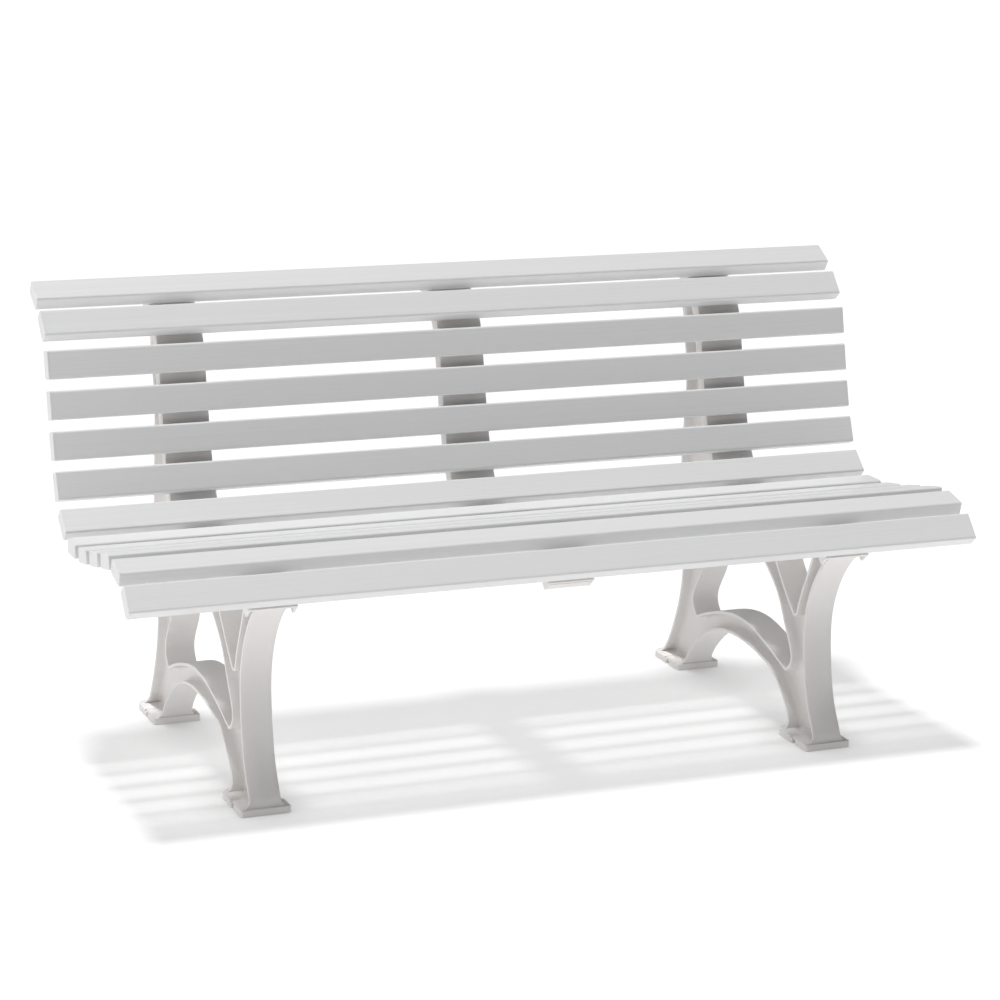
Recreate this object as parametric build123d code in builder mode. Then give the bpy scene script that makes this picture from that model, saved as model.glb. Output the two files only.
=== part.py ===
from build123d import *
import os
from math import cos, radians, sin

# A three-seat garden bench: thirteen hollow slats screwed to three curved carrier rails, the two
# outer rails held by moulded leg frames. Millimetres, +Z up, -Y is the front, X runs along the slats.
# The origin is on the floor, half way along the bench and half way between the toe and heel of the feet.

# ---- driving sizes ----
bench_length = 1500.0

slat_width = 49.0
slat_thick = 25.0
slat_corner = 4.0
slat_wall = 3.0
back_pitch = 67.8
seat_pitch = 71.6
front_pitch = 63.5
front_gaps = 2
# lean of each slat from level, from the top of the back to the front edge of the seat
slat_leans = (30.8, 49.3, 78.2, 77.4, 75.4, 68.7, 42.5, 0.5, -8.5, -11.5, -10.5, 14.5, 49.5)
back_slats = 7
seat_datum_y = -13.0
seat_datum_z = 389.0

cap_face = 3.0
cap_plug = 14.0
cap_edge = 0.8
cap_seam = 0.4
plug_clearance = 0.25

support_spacing = 511.0
rail_width = 82.0
rail_plate = 6.0
rail_depth = 24.0
rail_lip = 4.5
rail_overrun = 25.0
rib_thick = 3.0
pad_height = 3.0
pad_length = 30.0
pad_side_gap = 6.0

frame_gap = 0.3
lip_gap = 1.0
frame_width = 52.0
frame_flange = 5.0
frame_web = 6.0
frame_seat_flange = 6.0
spine_depths = (89.0, 110.0, 114.0, 115.0, 134.0, 168.0)
spine_tip_depth = 60.0
flare_height = 16.0
leg_top_inset = 1.0

foot_width = 85.0
foot_length = 115.0
foot_thick = 12.0
foot_toe_radius = 4.0
foot_heel_radius = 20.0
foot_flare = 14.0
foot_edge = 1.5
front_toe_y = -311.0
rear_toe_y = 196.0
slot_setback = 47.0
slot_width = 12.0
slot_depth = 17.0
washer_width = 24.0
washer_depth = 23.0
washer_sink = 4.0

arch_top_z = 161.0
arch_band = 40.0
fork_z = 221.0
fork_y = -219.0

screw_shank = 4.8
screw_head = 9.5
screw_head_thick = 3.0
screw_hole_clearance = 0.3
screw_spot_sink = 1.0
screw_reach = 9.0
screw_offset_x = 17.0
screw_offset_w = 5.5

# ---- derived sizes ----
slat_count = len(slat_leans)
rail_face = slat_thick / 2 + pad_height
rail_back = rail_face + rail_plate
frame_face = rail_back + frame_gap
seat_flange_width = rail_width - 2 * (rail_lip + lip_gap)
slat_length = bench_length - 2 * cap_face
chamber_width = (slat_width - 3 * slat_wall) / 2
chamber_height = slat_thick - 2 * slat_wall
chamber_offset = (chamber_width + slat_wall) / 2
hole_radius = (screw_shank + screw_hole_clearance) / 2


def pitch_after(i):
    if i < back_slats:
        return back_pitch
    return front_pitch if i >= slat_count - 1 - front_gaps else seat_pitch


def slat_centres():
    """Slat centres in (y, z): each is one pitch from the last, on an arc that is tangent to both."""
    centres = {back_slats: (seat_datum_y, seat_datum_z)}
    for i in range(back_slats, slat_count - 1):
        lean = radians((slat_leans[i] + slat_leans[i + 1]) / 2)
        y, z = centres[i]
        centres[i + 1] = (y - pitch_after(i) * cos(lean), z - pitch_after(i) * sin(lean))
    for i in range(back_slats, 0, -1):
        lean = radians((slat_leans[i] + slat_leans[i - 1]) / 2)
        y, z = centres[i]
        centres[i - 1] = (y + pitch_after(i - 1) * cos(lean), z + pitch_after(i - 1) * sin(lean))
    return [centres[i] for i in range(slat_count)]


centres = slat_centres()


def behind(i, depth, along=0.0):
    """The (y, z) point this deep behind the centre of slat i, moved along it towards the seat front."""
    lean = radians(slat_leans[i])
    y, z = centres[i]
    return (
        y + depth * sin(lean) - along * cos(lean),
        z - depth * cos(lean) - along * sin(lean),
    )


def heading(i):
    lean = radians(slat_leans[i])
    return (-cos(lean), -sin(lean))


def seat_curve(depth, overrun):
    """Draws the bench profile at one depth behind the slats, from above the top slat to the front edge."""
    Line(behind(0, depth, -overrun), behind(0, depth))
    for i in range(slat_count - 1):
        TangentArc(behind(i, depth), behind(i + 1, depth), tangent=heading(i))
    Line(behind(slat_count - 1, depth), behind(slat_count - 1, depth, overrun))


def profile_band(plane, near, far, overrun):
    """A sketch of the strip between two depths, over the whole length of the profile."""
    with BuildSketch(plane) as band:
        with BuildLine():
            seat_curve(near, overrun)
            seat_curve(far, overrun)
            Line(behind(0, near, -overrun), behind(0, far, -overrun))
            Line(behind(slat_count - 1, near, overrun), behind(slat_count - 1, far, overrun))
        make_face()
    return band.sketch


def slat_plane(i, x, depth=0.0):
    """A plane on slat i, facing out of the bench, with its first axis along the bench."""
    y, z = behind(i, depth)
    lean = radians(slat_leans[i])
    return Plane(origin=(x, y, z), x_dir=(1, 0, 0), z_dir=(0, -sin(lean), cos(lean)))


def section_plane(i, x):
    """The cross-section plane of slat i: first axis along the slat's width."""
    y, z = centres[i]
    dy, dz = heading(i)
    return Plane(origin=(x, y, z), x_dir=(0, dy, dz), z_dir=(1, 0, 0))


def screw_spots():
    """The two screws of each slat stand on a diagonal, clear of the slat's middle wall."""
    return Locations((-screw_offset_x, -screw_offset_w), (screw_offset_x, screw_offset_w))


def save(part, label):
    part.label = label
    export_step(part, f"parts/{label}.step")


def slat_label(i):
    if i < back_slats:
        return f"back_slat_{i + 1}"
    return f"seat_slat_{i - back_slats + 1}"


# ---- slats: a two-chamber extrusion, drilled from behind at each rail ----
def make_slat(i):
    with BuildPart() as slat:
        with BuildSketch(section_plane(i, 0)):
            RectangleRounded(slat_width, slat_thick, slat_corner)
            with Locations((-chamber_offset, 0), (chamber_offset, 0)):
                RectangleRounded(chamber_width, chamber_height, 1, mode=Mode.SUBTRACT)
        extrude(amount=slat_length / 2, both=True)
        for x in (-support_spacing, 0, support_spacing):
            with BuildSketch(slat_plane(i, x, slat_thick / 2)):
                with screw_spots():
                    Circle(hole_radius)
            extrude(amount=slat_wall, mode=Mode.SUBTRACT)
    save(slat.part, slat_label(i))


# ---- end caps: a flush face with two plugs that push into the chambers ----
def make_cap(i, side, name):
    with BuildPart() as cap:
        with BuildSketch(section_plane(i, side * slat_length / 2)):
            RectangleRounded(slat_width, slat_thick, slat_corner)
        extrude(amount=side * cap_face)
        inner = cap.faces().sort_by(Axis.X, reverse=side < 0)[0]
        chamfer(inner.edges(), cap_seam)
        outer = cap.faces().sort_by(Axis.X, reverse=side < 0)[-1]
        fillet(outer.edges(), cap_edge)
        with BuildSketch(section_plane(i, side * slat_length / 2)):
            with Locations((-chamber_offset, 0), (chamber_offset, 0)):
                RectangleRounded(
                    chamber_width - 2 * plug_clearance, chamber_height - 2 * plug_clearance, 1
                )
        extrude(amount=-side * cap_plug)
    save(cap.part, f"{slat_label(i)}_cap_{name}")


# ---- carrier rails: an inverted channel that follows the profile, with a flat pad under each slat ----
def make_rail(name, x, ribbed):
    with BuildPart() as rail:
        plate = profile_band(Plane.YZ.offset(x), rail_face, rail_back, rail_overrun)
        extrude(plate, rail_width / 2, both=True)
        for side in (-1, 1):
            lip_plane = Plane.YZ.offset(x + side * (rail_width - rail_lip) / 2)
            lip = profile_band(lip_plane, rail_face, rail_face + rail_depth, rail_overrun)
            extrude(lip, rail_lip / 2, both=True)
        for i in range(slat_count):
            with BuildSketch(slat_plane(i, x, rail_face + rail_plate / 2)):
                Rectangle(rail_width - 2 * pad_side_gap, pad_length)
            extrude(amount=pad_height + rail_plate / 2)
        if ribbed:
            for i in range(slat_count):
                for along in (-slat_width / 2, slat_width / 2):
                    with BuildSketch(slat_plane(i, x, rail_back - 1)):
                        with Locations((0, along)):
                            Rectangle(rail_width - rail_lip, rib_thick)
                    extrude(amount=-(rail_depth - rail_plate - 3))
        for i in range(slat_count):
            with BuildSketch(slat_plane(i, x, slat_thick / 2)):
                with screw_spots():
                    Circle(hole_radius)
            extrude(amount=-(pad_height + rail_plate + screw_spot_sink), mode=Mode.SUBTRACT)
            if ribbed:
                with BuildSketch(slat_plane(i, x, rail_back - screw_spot_sink)):
                    with screw_spots():
                        Circle(screw_head / 2 + screw_hole_clearance)
                extrude(amount=-screw_head_thick, mode=Mode.SUBTRACT)
    save(rail.part, f"carrier_rail_{name}")


# ---- leg frames: an I-section casting with two feet, an arch, a forked front leg and a back spine ----
def frame_outline(plane):
    """The side view of a leg frame, feet plates left out, with its two openings."""
    last = slat_count - 1
    sole = foot_thick / 2
    rail_top = behind(0, frame_face, -rail_overrun)
    rail_front = behind(last, frame_face, rail_overrun - frame_flange)
    front_top = behind(last, frame_face + 9, rail_overrun - frame_flange)
    rear_heel = rear_toe_y + foot_length - 13
    front_heel = front_toe_y + foot_length - 13
    with BuildSketch(plane) as outline:
        with BuildLine():
            Line(rail_top, behind(0, frame_face))
            for i in range(last):
                TangentArc(behind(i, frame_face), behind(i + 1, frame_face), tangent=heading(i))
            Line(behind(last, frame_face), rail_front)
            Line(rail_front, front_top)
            Spline(
                front_top,
                (fork_y - 72, fork_z + 84),
                (fork_y - 40, fork_z + 5),
                (fork_y - 43, arch_top_z - 17),
                (front_toe_y + 22, foot_thick + 42),
                (front_toe_y + 5, foot_thick + 8),
                (front_toe_y + 4, sole),
            )
            Line((front_toe_y + 4, sole), (front_heel, sole))
            Spline(
                (front_heel, sole),
                (front_heel - 1, foot_thick + 14),
                (front_heel + 19, foot_thick + 46),
                (front_heel + 61, arch_top_z - arch_band - 28),
                (fork_y + 129, arch_top_z - arch_band - 9),
                ((front_toe_y + rear_toe_y) / 2 + 50, arch_top_z - arch_band),
                (rear_toe_y - 97, arch_top_z - arch_band - 19),
                (rear_toe_y - 36, foot_thick + 50),
                (rear_toe_y - 6, foot_thick + 17),
                (rear_toe_y + 5, sole),
            )
            Line((rear_toe_y + 5, sole), (rear_heel + 5, sole))
            Spline(
                (rear_heel + 5, sole),
                (rear_heel - 13, foot_thick + 15),
                (rear_heel - 36, foot_thick + 53),
                (rear_heel - 62, arch_top_z - 34),
                (rear_heel - 73, arch_top_z + 27),
                (rear_heel - 63, arch_top_z + 110),
                behind(5, spine_depths[5]),
                behind(4, spine_depths[4]),
                behind(3, spine_depths[3]),
                behind(2, spine_depths[2]),
                behind(1, spine_depths[1]),
                behind(0, spine_depths[0]),
                behind(0, spine_tip_depth, -rail_overrun - 5),
            )
            Line(behind(0, spine_tip_depth, -rail_overrun - 5), rail_top)
        make_face()
        with BuildLine():
            fork_top = frame_face + frame_seat_flange / 2
            fork_foot = (fork_y - 4, fork_z + 3), (fork_y + 4, fork_z + 2)
            Spline(
                fork_foot[0],
                (fork_y - 17, fork_z + 40),
                (fork_y - 46, fork_z + 102),
                behind(last - 1, fork_top),
            )
            for i in range(back_slats + 1, last - 1):
                TangentArc(behind(i, fork_top), behind(i + 1, fork_top), tangent=heading(i))
            Spline(
                behind(back_slats + 1, fork_top),
                (fork_y + 76, fork_z + 80),
                (fork_y + 28, fork_z + 25),
                fork_foot[1],
            )
            Line(fork_foot[1], fork_foot[0])
        make_face(mode=Mode.SUBTRACT)
        with BuildLine():
            arch_corner = (rear_toe_y - 37, arch_top_z - 43)
            stem_foot = (fork_y + 27, arch_top_z - 45)
            opening_top = behind(back_slats, frame_face + 40, 25)
            Spline(
                arch_corner,
                (rear_toe_y - 91, arch_top_z - 22),
                (rear_toe_y - 225, arch_top_z),
                (rear_toe_y - 320, arch_top_z - 21),
                stem_foot,
            )
            Spline(
                stem_foot,
                (fork_y + 9, fork_z - 85),
                (fork_y + 31, fork_z - 36),
                (fork_y + 62, fork_z + 15),
                (fork_y + 121, fork_z + 66),
                opening_top,
                behind(back_slats - 1, frame_face + 94, 0),
                (rear_toe_y - 55, fork_z - 8),
                (rear_toe_y - 20, arch_top_z - 20),
                arch_corner,
            )
        make_face(mode=Mode.SUBTRACT)
    return outline.sketch_local


def inset_outline(outline):
    """The outline moved in by one flange, with its long curves redrawn as plain splines."""
    with BuildSketch() as shrunk:
        add(outline)
        offset(amount=-frame_flange, mode=Mode.REPLACE)
    face = shrunk.sketch.faces()[0]
    with BuildSketch() as inset:
        for wire in (face.outer_wire(), *face.inner_wires()):
            with BuildLine():
                for edge in wire.edges():
                    if edge.geom_type == GeomType.OFFSET:
                        steps = max(4, round(edge.length / 12))
                        Spline(*[edge @ (k / steps) for k in range(steps + 1)])
                    else:
                        add(edge)
            make_face(mode=Mode.SUBTRACT if inset.sketch_local else Mode.ADD)
    return inset.sketch_local


def front_outline(plane):
    """The front view of a leg frame: straight flanges that curve out to the width of the feet."""
    sole = foot_thick / 2
    foot_half = foot_width / 2 - foot_edge - 2
    frame_half = frame_width / 2
    top = 2 * seat_datum_z + bench_length
    with BuildSketch(plane) as outline:
        with BuildLine():
            Polyline((0, sole), (foot_half, sole), (foot_half, foot_thick - 1))
            EllipticalCenterArc(
                (foot_half, foot_thick + foot_flare), foot_half - frame_half, foot_flare + 1, 180, arc_size=90
            )
            Polyline((frame_half, foot_thick + foot_flare), (frame_half, top), (0, top))
            mirror(about=Plane.YZ)
        make_face()
    return outline.sketch


def leg_top_outline(plane):
    """The front flange's top, seen square on, where it spreads to the width of the seat flange."""
    frame_half = frame_width / 2 - 1
    seat_half = seat_flange_width / 2
    top = -frame_seat_flange / 2
    low = top - flare_height
    with BuildSketch(plane) as outline:
        with BuildLine():
            Polyline((0, 0), (seat_half, 0), (seat_half, top))
            EllipticalCenterArc((seat_half, low), seat_half - frame_half, flare_height, 90, arc_size=90)
            Line((frame_half, low), (0, low))
            mirror(about=Plane.YZ)
        make_face()
    return outline.sketch


def foot_plate(toe_y, x):
    """One foot: square toes at the front, a round heel, and an open bolt slot in each side."""
    half = foot_width / 2
    slot_y = toe_y + slot_setback
    with BuildPart() as foot:
        with BuildSketch(Plane.XY):
            with Locations((x, toe_y + foot_length / 2)):
                Rectangle(foot_width, foot_length)
            corners = vertices().sort_by(Axis.Y)
            fillet(corners[:2], foot_toe_radius)
            fillet(vertices().sort_by(Axis.Y)[-2:], foot_heel_radius)
        extrude(amount=foot_thick)
        fillet(foot.faces().sort_by(Axis.Z)[-1].edges(), foot_edge)
        for side in (-1, 1):
            with BuildSketch(Plane.XY):
                with Locations((x + side * half, slot_y)):
                    SlotOverall(2 * slot_depth, slot_width)
            extrude(amount=foot_thick, mode=Mode.SUBTRACT)
            with BuildSketch(Plane.XY.offset(foot_thick - washer_sink)):
                with Locations((x + side * half, slot_y)):
                    SlotOverall(2 * washer_depth, washer_width)
            extrude(amount=washer_sink, mode=Mode.SUBTRACT)
    return foot.part


def make_leg_frame(name, x):
    side_view = Plane.YZ.offset(x)
    outline = frame_outline(side_view)
    with BuildSketch(side_view) as solid_view:
        add(outline)
    pocket = inset_outline(outline)
    with BuildPart() as frame:
        # full side view, as wide as the flanges and flared out to the feet
        extrude(solid_view.sketch, foot_width / 2, both=True)
        extrude(
            front_outline(Plane.XZ.shift_origin((x, 0, 0))), bench_length, both=True, mode=Mode.INTERSECT
        )
        # recess each side down to the web, leaving a flange round the outside and both openings
        for side in (-1, 1):
            with BuildSketch(side_view.offset(side * frame_web / 2)):
                add(pocket)
            extrude(amount=side * foot_width, mode=Mode.SUBTRACT)
        # the flange under the rail, the spread at the top of the front leg, and the two feet
        flange_overrun = rail_overrun - frame_flange
        extrude(
            profile_band(side_view, frame_face, frame_face + frame_seat_flange, flange_overrun),
            seat_flange_width / 2,
            both=True,
        )
        top_y, top_z = behind(
            slat_count - 1, frame_face + frame_seat_flange / 2, rail_overrun - frame_flange - leg_top_inset
        )
        top_plane = Plane(origin=(x, top_y, top_z), x_dir=(1, 0, 0), z_dir=(0, *heading(slat_count - 1)))
        extrude(leg_top_outline(top_plane), -(frame_flange - 2 * leg_top_inset))
        for toe_y in (front_toe_y, rear_toe_y):
            add(foot_plate(toe_y, x))
        for i in range(slat_count):
            with BuildSketch(slat_plane(i, x, rail_back)):
                with screw_spots():
                    Circle(hole_radius)
            extrude(amount=-(frame_seat_flange + 2), mode=Mode.SUBTRACT)
            with BuildSketch(slat_plane(i, x, frame_face + frame_seat_flange - screw_spot_sink)):
                with screw_spots():
                    Circle(screw_head / 2 + screw_hole_clearance)
            extrude(amount=-screw_head_thick, mode=Mode.SUBTRACT)
    save(frame.part, f"leg_frame_{name}")


# ---- screws: one set per support, two under each slat ----
def make_screws(name, x, seat_depth):
    with BuildPart() as screws:
        for i in range(slat_count):
            with BuildSketch(slat_plane(i, x, seat_depth - screw_spot_sink)):
                with screw_spots():
                    Circle(screw_head / 2)
            extrude(amount=-screw_head_thick)
            with BuildSketch(slat_plane(i, x, seat_depth)):
                with screw_spots():
                    Circle(screw_shank / 2)
            extrude(amount=seat_depth - slat_thick / 2 + screw_reach)
    save(screws.part, f"screws_{name}")


os.makedirs("parts", exist_ok=True)
for i in range(slat_count):
    make_slat(i)
    make_cap(i, -1, "left")
    make_cap(i, 1, "right")
make_rail("left", -support_spacing, False)
make_rail("middle", 0, True)
make_rail("right", support_spacing, False)
for name, x in (("left", -support_spacing), ("right", support_spacing)):
    make_leg_frame(name, x)
    make_screws(name, x, frame_face + frame_seat_flange)
make_screws("middle", 0, rail_back)
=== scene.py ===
from math import cos, radians, sin

import bmesh
import bpy
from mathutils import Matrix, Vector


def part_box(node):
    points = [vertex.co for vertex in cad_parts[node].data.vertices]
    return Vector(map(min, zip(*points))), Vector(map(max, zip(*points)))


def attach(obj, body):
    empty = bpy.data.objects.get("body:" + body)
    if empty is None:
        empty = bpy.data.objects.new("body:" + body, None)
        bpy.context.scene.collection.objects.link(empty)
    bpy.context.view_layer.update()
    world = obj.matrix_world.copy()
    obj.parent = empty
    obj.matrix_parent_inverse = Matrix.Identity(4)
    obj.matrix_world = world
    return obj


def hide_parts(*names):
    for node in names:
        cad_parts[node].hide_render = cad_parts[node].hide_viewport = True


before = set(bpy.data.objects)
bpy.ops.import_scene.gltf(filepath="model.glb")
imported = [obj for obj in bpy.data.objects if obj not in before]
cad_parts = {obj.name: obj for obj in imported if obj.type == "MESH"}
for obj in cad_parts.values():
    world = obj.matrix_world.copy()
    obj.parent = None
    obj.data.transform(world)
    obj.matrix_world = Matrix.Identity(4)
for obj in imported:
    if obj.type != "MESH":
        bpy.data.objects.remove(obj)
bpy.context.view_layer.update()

# ---- Leg frames ----
# Two equal legs hold the bench at its outer rails. Each is one moulded piece of glass-filled white
# polypropylene: an arched side panel 6 mm thick with a 52 mm flange round every edge, and two slotted
# feet. The tool leaves a soft fillet where the panel meets its flanges, and a small round on every rim.

LEG_WEB = 0.006
WEB_TOLERANCE = 0.0002
LEG_FILLET = 0.008
FILLET_STEPS = 5
LEG_RIM_ROUND = 0.0009
MERGE_DISTANCE = 0.00001
HARD_EDGE = radians(50.0)
SMOOTH_ANGLE = radians(35.0)


def linear(hex_code):
    """An sRGB hex colour as the linear RGBA that Blender's sockets take."""
    channels = [int(hex_code[i:i + 2], 16) / 255 for i in (1, 3, 5)]
    return tuple(c / 12.92 if c <= 0.04045 else ((c + 0.055) / 1.055) ** 2.4 for c in channels) + (1.0,)


def add_node(tree, kind, settings=None, **links):
    """A node with its settings; each link names an input (or its number, as _0) and a value or a socket."""
    node = tree.nodes.new(kind)
    for name, value in (settings or {}).items():
        setattr(node, name, value)
    for name, value in links.items():
        socket = node.inputs[int(name[1:])] if name.startswith("_") else node.inputs[name.replace("_", " ")]
        if isinstance(value, bpy.types.NodeSocket):
            tree.links.new(value, socket)
        else:
            socket.default_value = value
    return node


def moulding_from(node, name):
    """A copy of a CAD node's mesh as a new piece, merged where its triangles meet and open for editing."""
    bpy.ops.object.select_all(action="DESELECT")
    piece = bpy.data.objects.new(name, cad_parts[node].data.copy())
    bpy.context.scene.collection.objects.link(piece)
    bpy.context.view_layer.objects.active = piece
    piece.select_set(True)
    piece.data.materials.clear()
    bpy.ops.object.mode_set(mode="EDIT")
    bpy.ops.mesh.customdata_custom_splitnormals_clear()
    bpy.ops.mesh.select_all(action="SELECT")
    bpy.ops.mesh.remove_doubles(threshold=MERGE_DISTANCE)
    bpy.ops.mesh.select_all(action="DESELECT")
    bpy.ops.mesh.select_mode(type="FACE")
    return piece


def select_faces(piece, wanted):
    """Selects the faces that pass a test on their middle, normal and area, and nothing else."""
    bpy.ops.mesh.select_all(action="DESELECT")
    mesh = bmesh.from_edit_mesh(piece.data)
    for face in mesh.faces:
        face.select_set(wanted(face.calc_center_median(), face.normal, face.calc_area()))
    bmesh.update_edit_mesh(piece.data)


def round_edges(piece, width):
    """Leaves edit mode and gives every hard edge a small moulded round."""
    bpy.ops.object.mode_set(mode="OBJECT")
    rim = piece.modifiers.new("moulded round", "BEVEL")
    rim.width = width
    rim.segments = 2
    rim.limit_method = "ANGLE"
    rim.angle_limit = HARD_EDGE
    bpy.ops.object.modifier_apply(modifier=rim.name)
    bpy.ops.object.shade_smooth_by_angle(angle=SMOOTH_ANGLE)


# Moulded polypropylene: a white with a little grey in it, from a tool with a fine spark texture.
# The eye gets a broad soft sheen, faint cloudy flow marks and a slightly dusty, uneven gloss.
leg_plastic = bpy.data.materials.new("moulded white polypropylene")
leg_plastic.use_nodes = True
leg_tree = leg_plastic.node_tree
leg_skin = leg_tree.nodes["Principled BSDF"]
leg_place = add_node(leg_tree, "ShaderNodeTexCoord")
leg_point = leg_place.outputs["Object"]
# flow marks are clouds 90 mm across, so 1 / 0.09 m = 11 to the metre
leg_flow = add_node(leg_tree, "ShaderNodeTexNoise", Vector=leg_point, Scale=11.0, Detail=4.0, Distortion=0.6)
leg_tone = add_node(
    leg_tree, "ShaderNodeMix", {"data_type": "RGBA"},
    _0=leg_flow.outputs["Fac"], _6=linear("#E7E4E2"), _7=linear("#F1EFED"),
)
# specks in the resin, 1.5 mm apart, take the plainness off the white
leg_speck = add_node(leg_tree, "ShaderNodeTexNoise", Vector=leg_point, Scale=650.0, Detail=1.0)
leg_speck_mask = add_node(
    leg_tree, "ShaderNodeMapRange", Value=leg_speck.outputs["Fac"], _1=0.62, _2=0.78, _3=0.0, _4=0.25,
)
leg_colour = add_node(
    leg_tree, "ShaderNodeMix", {"data_type": "RGBA"},
    _0=leg_speck_mask.outputs["Result"], _6=leg_tone.outputs[2], _7=linear("#D2CFCC"),
)
leg_tree.links.new(leg_colour.outputs[2], leg_skin.inputs["Base Color"])
leg_rough = add_node(leg_tree, "ShaderNodeMapRange", Value=leg_flow.outputs["Fac"], _3=0.40, _4=0.56)
leg_tree.links.new(leg_rough.outputs["Result"], leg_skin.inputs["Roughness"])
# the spark texture is 0.5 mm grit, drawn at 0.8 mm so that it shows: 1250 to the metre
leg_grit = add_node(leg_tree, "ShaderNodeTexNoise", Vector=leg_point, Scale=1250.0, Detail=2.0)
leg_bump = add_node(
    leg_tree, "ShaderNodeBump", Height=leg_grit.outputs["Fac"], Strength=0.25, Distance=0.00012,
)
leg_tree.links.new(leg_bump.outputs["Normal"], leg_skin.inputs["Normal"])
leg_skin.inputs["IOR"].default_value = 1.49

for side in ("left", "right"):
    leg = moulding_from(f"leg_frame_{side}", f"{side}_leg_moulding")
    low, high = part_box(f"leg_frame_{side}")
    middle = (low[0] + high[0]) / 2
    for face in (-1, 1):
        web = middle + face * LEG_WEB / 2
        select_faces(leg, lambda at, normal, area: abs(at.x - web) < WEB_TOLERANCE and normal.x * face > 0.99)
        # the panel is lifted, then sunk back in steps that follow a quarter circle
        bpy.ops.transform.translate(value=(face * LEG_FILLET, 0.0, 0.0))
        for step in range(FILLET_STEPS):
            a, b = (radians(90.0 * k / FILLET_STEPS) for k in (step, step + 1))
            inward, down = LEG_FILLET * (cos(a) - cos(b)), LEG_FILLET * (sin(b) - sin(a))
            bpy.ops.mesh.inset(thickness=inward, depth=-down, use_even_offset=False)
    round_edges(leg, LEG_RIM_ROUND)
    leg.data.materials.append(leg_plastic)
    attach(leg, "root")
    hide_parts(f"leg_frame_{side}")

# ---- Carrier rails ----
# Three curved channels carry the slats: one lies on each leg frame and a ribbed one spans between
# them. They are moulded from the same polypropylene, with a flat pad and two screw holes for each
# slat, and every edge has a half-millimetre round from the tool.

RAIL_RIM_ROUND = 0.0005

# the same plastic and tool finish as the legs, kept as its own material for its own slot
rail_plastic = leg_plastic.copy()
rail_plastic.name = "moulded white polypropylene, rails"
for side in ("left", "middle", "right"):
    rail = moulding_from(f"carrier_rail_{side}", f"{side}_rail_moulding")
    round_edges(rail, RAIL_RIM_ROUND)
    rail.data.materials.append(rail_plastic)
    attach(rail, "root")
    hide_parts(f"carrier_rail_{side}")

# ---- Slats ----
# Thirteen hollow slats, 49 x 25 mm with 3 mm walls, extruded in white PVC, cut to length and
# screwed down from behind. The die leaves fine lines along them and the saw leaves square ends.

# Extruded PVC: bluish white with titanium dioxide in it, and a satin skin. The eye gets fine draw
# lines along the slat, a soft streaky sheen, and a few hairline scuffs from use.
slat_pvc = bpy.data.materials.new("extruded white PVC")
slat_pvc.use_nodes = True
slat_tree = slat_pvc.node_tree
slat_skin = slat_tree.nodes["Principled BSDF"]
slat_place = add_node(slat_tree, "ShaderNodeTexCoord")
slat_point = slat_place.outputs["Object"]
# draw lines 2.4 mm apart run for over a metre: 0.8 to the metre along, 420 across
slat_along = add_node(slat_tree, "ShaderNodeMapping", Vector=slat_point, Scale=(0.8, 420.0, 420.0))
slat_lines = add_node(
    slat_tree, "ShaderNodeTexNoise", Vector=slat_along.outputs["Vector"], Scale=1.0, Detail=4.0,
)
slat_tone = add_node(
    slat_tree, "ShaderNodeMix", {"data_type": "RGBA"},
    _0=slat_lines.outputs["Fac"], _6=linear("#E4E4E5"), _7=linear("#EDEDED"),
)
# scuffs are hairlines 0.4 mm wide, drawn 1.2 mm wide so that they show, and 50 mm long
slat_rub = add_node(slat_tree, "ShaderNodeMapping", Vector=slat_point, Scale=(18.0, 800.0, 800.0))
slat_scuff = add_node(
    slat_tree, "ShaderNodeTexNoise", Vector=slat_rub.outputs["Vector"], Scale=1.0, Detail=1.0,
)
slat_scuff_mask = add_node(
    slat_tree, "ShaderNodeMapRange", Value=slat_scuff.outputs["Fac"], _1=0.68, _2=0.76, _3=0.0, _4=0.35,
)
slat_colour = add_node(
    slat_tree, "ShaderNodeMix", {"data_type": "RGBA"},
    _0=slat_scuff_mask.outputs["Result"], _6=slat_tone.outputs[2], _7=linear("#D8D8D9"),
)
slat_tree.links.new(slat_colour.outputs[2], slat_skin.inputs["Base Color"])
slat_rough = add_node(slat_tree, "ShaderNodeMapRange", Value=slat_lines.outputs["Fac"], _3=0.30, _4=0.44)
slat_tree.links.new(slat_rough.outputs["Result"], slat_skin.inputs["Roughness"])
slat_bump = add_node(
    slat_tree, "ShaderNodeBump", Height=slat_lines.outputs["Fac"], Strength=0.25, Distance=0.00008,
)
slat_tree.links.new(slat_bump.outputs["Normal"], slat_skin.inputs["Normal"])
slat_skin.inputs["IOR"].default_value = 1.53

slat_names = [f"back_slat_{i}" for i in range(1, 8)] + [f"seat_slat_{i}" for i in range(1, 7)]
for name in slat_names:
    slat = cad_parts[name]
    slat.data.materials.clear()
    slat.data.materials.append(slat_pvc)

# ---- End caps ----
# A cap closes each end of each slat, 3 mm thick with rounded edges and a plug that fits the hollow.
# Caps are injection moulded in white PVC, a shade cleaner than the slats, and pushed in dry.

# Moulded PVC: even white with a smooth satin skin and faint clouds where the melt cooled.
cap_pvc = bpy.data.materials.new("moulded white PVC")
cap_pvc.use_nodes = True
cap_tree = cap_pvc.node_tree
cap_skin = cap_tree.nodes["Principled BSDF"]
cap_place = add_node(cap_tree, "ShaderNodeTexCoord")
cap_point = cap_place.outputs["Object"]
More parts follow.
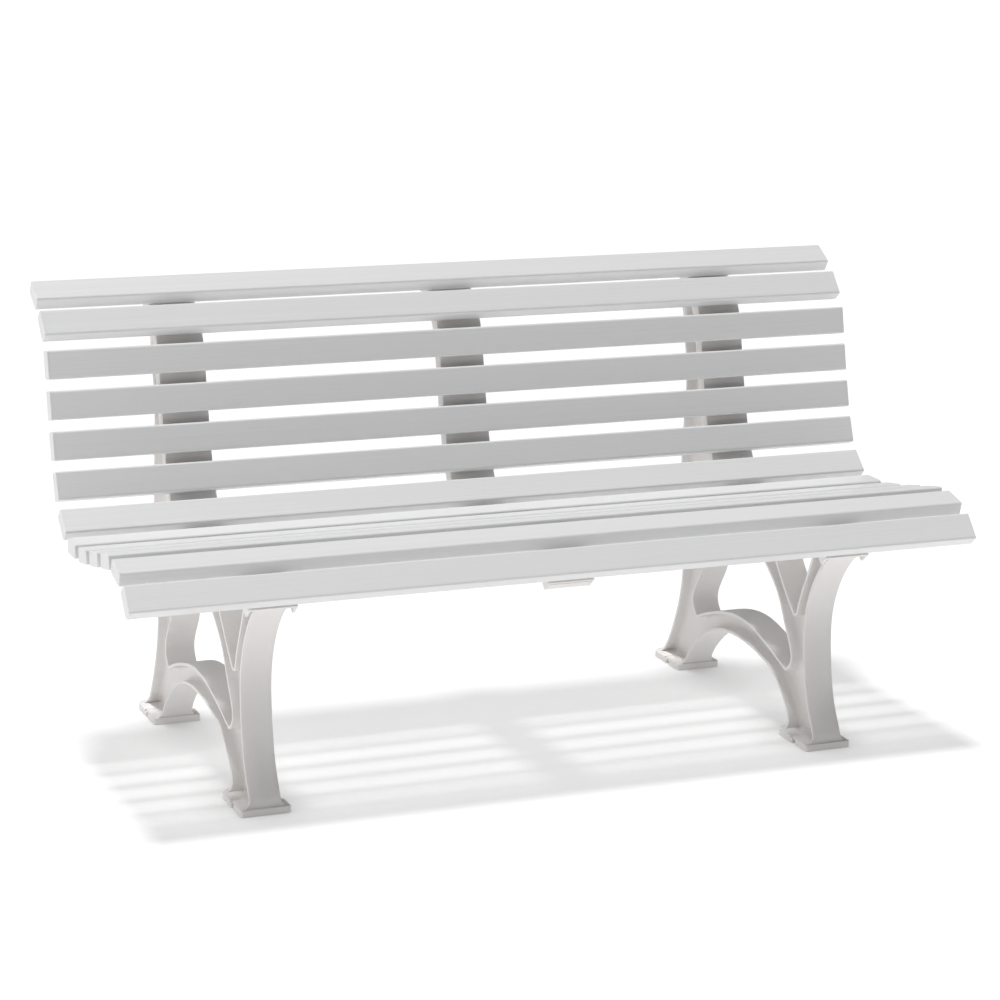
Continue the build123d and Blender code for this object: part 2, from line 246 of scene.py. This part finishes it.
# clouds 25 mm across: 40 to the metre
cap_cloud = add_node(cap_tree, "ShaderNodeTexNoise", Vector=cap_point, Scale=40.0, Detail=3.0)
cap_tone = add_node(
    cap_tree, "ShaderNodeMix", {"data_type": "RGBA"},
    _0=cap_cloud.outputs["Fac"], _6=linear("#E4E4E4"), _7=linear("#EDEDED"),
)
cap_tree.links.new(cap_tone.outputs[2], cap_skin.inputs["Base Color"])
cap_rough = add_node(cap_tree, "ShaderNodeMapRange", Value=cap_cloud.outputs["Fac"], _3=0.34, _4=0.46)
cap_tree.links.new(cap_rough.outputs["Result"], cap_skin.inputs["Roughness"])
# a fine matt tool finish of 0.7 mm grit: 1400 to the metre
cap_grit = add_node(cap_tree, "ShaderNodeTexNoise", Vector=cap_point, Scale=1400.0, Detail=1.0)
cap_bump = add_node(cap_tree, "ShaderNodeBump", Height=cap_grit.outputs["Fac"], Strength=0.2, Distance=0.0001)
cap_tree.links.new(cap_bump.outputs["Normal"], cap_skin.inputs["Normal"])
cap_skin.inputs["IOR"].default_value = 1.53
for name in slat_names:
    for side in ("left", "right"):
        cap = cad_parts[f"{name}_cap_{side}"]
        cap.data.materials.clear()
        cap.data.materials.append(cap_pvc)

# ---- Screws ----
# Two self-tapping screws hold each slat to each rail, driven from behind or below: stainless
# pan heads with a round socket, 78 in all, one piece for the set in each rail.

HEAD_DISC_AREA = 45e-6
HEAD_SHOULDER = 0.0009
HEAD_DOME = ((0.0009, 0.0006), (0.0013, 0.0003), (0.0002, 0.0))
SOCKET_TAPER = 0.0001
SOCKET_DEPTH = 0.0013

# Stainless steel: cold-headed and tumbled, so a bright grey metal with fine random scratches.
steel = bpy.data.materials.new("tumbled stainless steel")
steel.use_nodes = True
steel_tree = steel.node_tree
steel_skin = steel_tree.nodes["Principled BSDF"]
steel_skin.inputs["Base Color"].default_value = linear("#C4C4C6")
steel_skin.inputs["Metallic"].default_value = 1.0
steel_place = add_node(steel_tree, "ShaderNodeTexCoord")
# tumbling dents 1 mm apart: 1000 to the metre
steel_dents = add_node(
    steel_tree, "ShaderNodeTexNoise", Vector=steel_place.outputs["Object"], Scale=1000.0, Detail=3.0,
)
steel_rough = add_node(steel_tree, "ShaderNodeMapRange", Value=steel_dents.outputs["Fac"], _3=0.24, _4=0.42)
steel_tree.links.new(steel_rough.outputs["Result"], steel_skin.inputs["Roughness"])
steel_bump = add_node(
    steel_tree, "ShaderNodeBump", Height=steel_dents.outputs["Fac"], Strength=0.2, Distance=0.0001,
)
steel_tree.links.new(steel_bump.outputs["Normal"], steel_skin.inputs["Normal"])
for side in ("left", "middle", "right"):
    screws = moulding_from(f"screws_{side}", f"{side}_screw_set")
    bpy.ops.mesh.select_all(action="SELECT")
    bpy.ops.mesh.dissolve_limited(angle_limit=radians(1.0))
    select_faces(screws, lambda at, normal, area: area > HEAD_DISC_AREA and abs(normal.x) < 0.1)
    # the flat head is cut down to its shoulder, domed in steps, and a socket is sunk in its middle
    bpy.ops.mesh.inset(thickness=0.0, depth=-HEAD_SHOULDER, use_individual=True)
    for inward, rise in HEAD_DOME:
        bpy.ops.mesh.inset(thickness=inward, depth=rise, use_individual=True)
    bpy.ops.mesh.inset(thickness=SOCKET_TAPER, depth=-SOCKET_DEPTH, use_individual=True)
    bpy.ops.object.mode_set(mode="OBJECT")
    bpy.ops.object.shade_smooth_by_angle(angle=radians(40.0))
    screws.data.materials.append(steel)
    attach(screws, "root")
    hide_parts(f"screws_{side}")

# ---- Studio ----
# The bench stands on a white paper sweep that glows white, and its glow is dimmed close to the bench as a
# painted contact shadow.
# A broad soft light hangs overhead and a weak one stands at the bench's left; the camera looks down a little
# from the front left.

FLOOR_SIZE = 80.0
FLOOR_TONE = 0.52
FLOOR_GLOW_OPEN = 0.57
FLOOR_GLOW_UNDER = 0.03
# reach of the painted contact shadow that dims the floor's glow near the bench
CONTACT_REACH = 0.12
WORLD_GLOW = 0.16
TOP_LIGHT_ENERGY = 2.5
TOP_LIGHT_SPREAD = radians(8.5)
LEFT_LIGHT_SIZE = (3.0, 2.0)
LEFT_LIGHT_POWER = 32.0

bpy.ops.object.select_all(action="DESELECT")
bpy.ops.mesh.primitive_plane_add(size=FLOOR_SIZE, location=(0.0, 0.0, 0.0))
floor = bpy.context.object
floor.name = "studio_floor"
floor_paper = bpy.data.materials.new("glowing white sweep, painted contact shadow")
floor_paper.use_nodes = True
floor_tree = floor_paper.node_tree
floor_skin = floor_tree.nodes["Principled BSDF"]
floor_skin.inputs["Base Color"].default_value = (FLOOR_TONE, FLOOR_TONE, FLOOR_TONE, 1.0)
floor_skin.inputs["Roughness"].default_value = 0.9
floor_skin.inputs["Emission Color"].default_value = (1.0, 1.0, 1.0, 1.0)
# the sweep glows as if lit from behind, and the glow fades where something stands close to it: a painted
# contact shadow
floor_contact_shadow_ao = add_node(floor_tree, "ShaderNodeAmbientOcclusion", {"samples": 8}, Distance=CONTACT_REACH)
floor_glow = add_node(
    floor_tree, "ShaderNodeMapRange", Value=floor_contact_shadow_ao.outputs["AO"], _3=FLOOR_GLOW_UNDER, _4=FLOOR_GLOW_OPEN,
)
floor_tree.links.new(floor_glow.outputs["Result"], floor_skin.inputs["Emission Strength"])
floor.data.materials.append(floor_paper)

world = bpy.data.worlds.new("studio")
bpy.context.scene.world = world
world.use_nodes = True
world_glow = world.node_tree.nodes["Background"]
world_glow.inputs["Color"].default_value = (1.0, 1.0, 1.0, 1.0)
world_glow.inputs["Strength"].default_value = WORLD_GLOW

bpy.ops.object.light_add(type="SUN", location=(0.0, 0.0, 3.0), rotation=(radians(-3.0), radians(-4.0), 0.0))
top_light = bpy.context.object
top_light.name = "overhead_light"
top_light.data.energy = TOP_LIGHT_ENERGY
top_light.data.angle = TOP_LIGHT_SPREAD

bpy.ops.object.light_add(
    type="AREA", location=(-4.0, -0.5, 1.2), rotation=(radians(90.0), 0.0, radians(-90.0)),
)
side_light = bpy.context.object
side_light.name = "left_light"
side_light.data.shape = "RECTANGLE"
side_light.data.size, side_light.data.size_y = LEFT_LIGHT_SIZE
side_light.data.energy = LEFT_LIGHT_POWER

bpy.context.scene.view_settings.view_transform = "Standard"

bpy.ops.object.camera_add(
    location=(-1.882, -4.530, 1.597), rotation=(radians(76.738), radians(-0.876), radians(-21.594)),
)
camera = bpy.context.object
camera.data.sensor_width = 36.0
camera.data.lens = 104.68
camera.data.shift_x = 0.0456
camera.data.shift_y = -0.017
bpy.context.scene.camera = camera
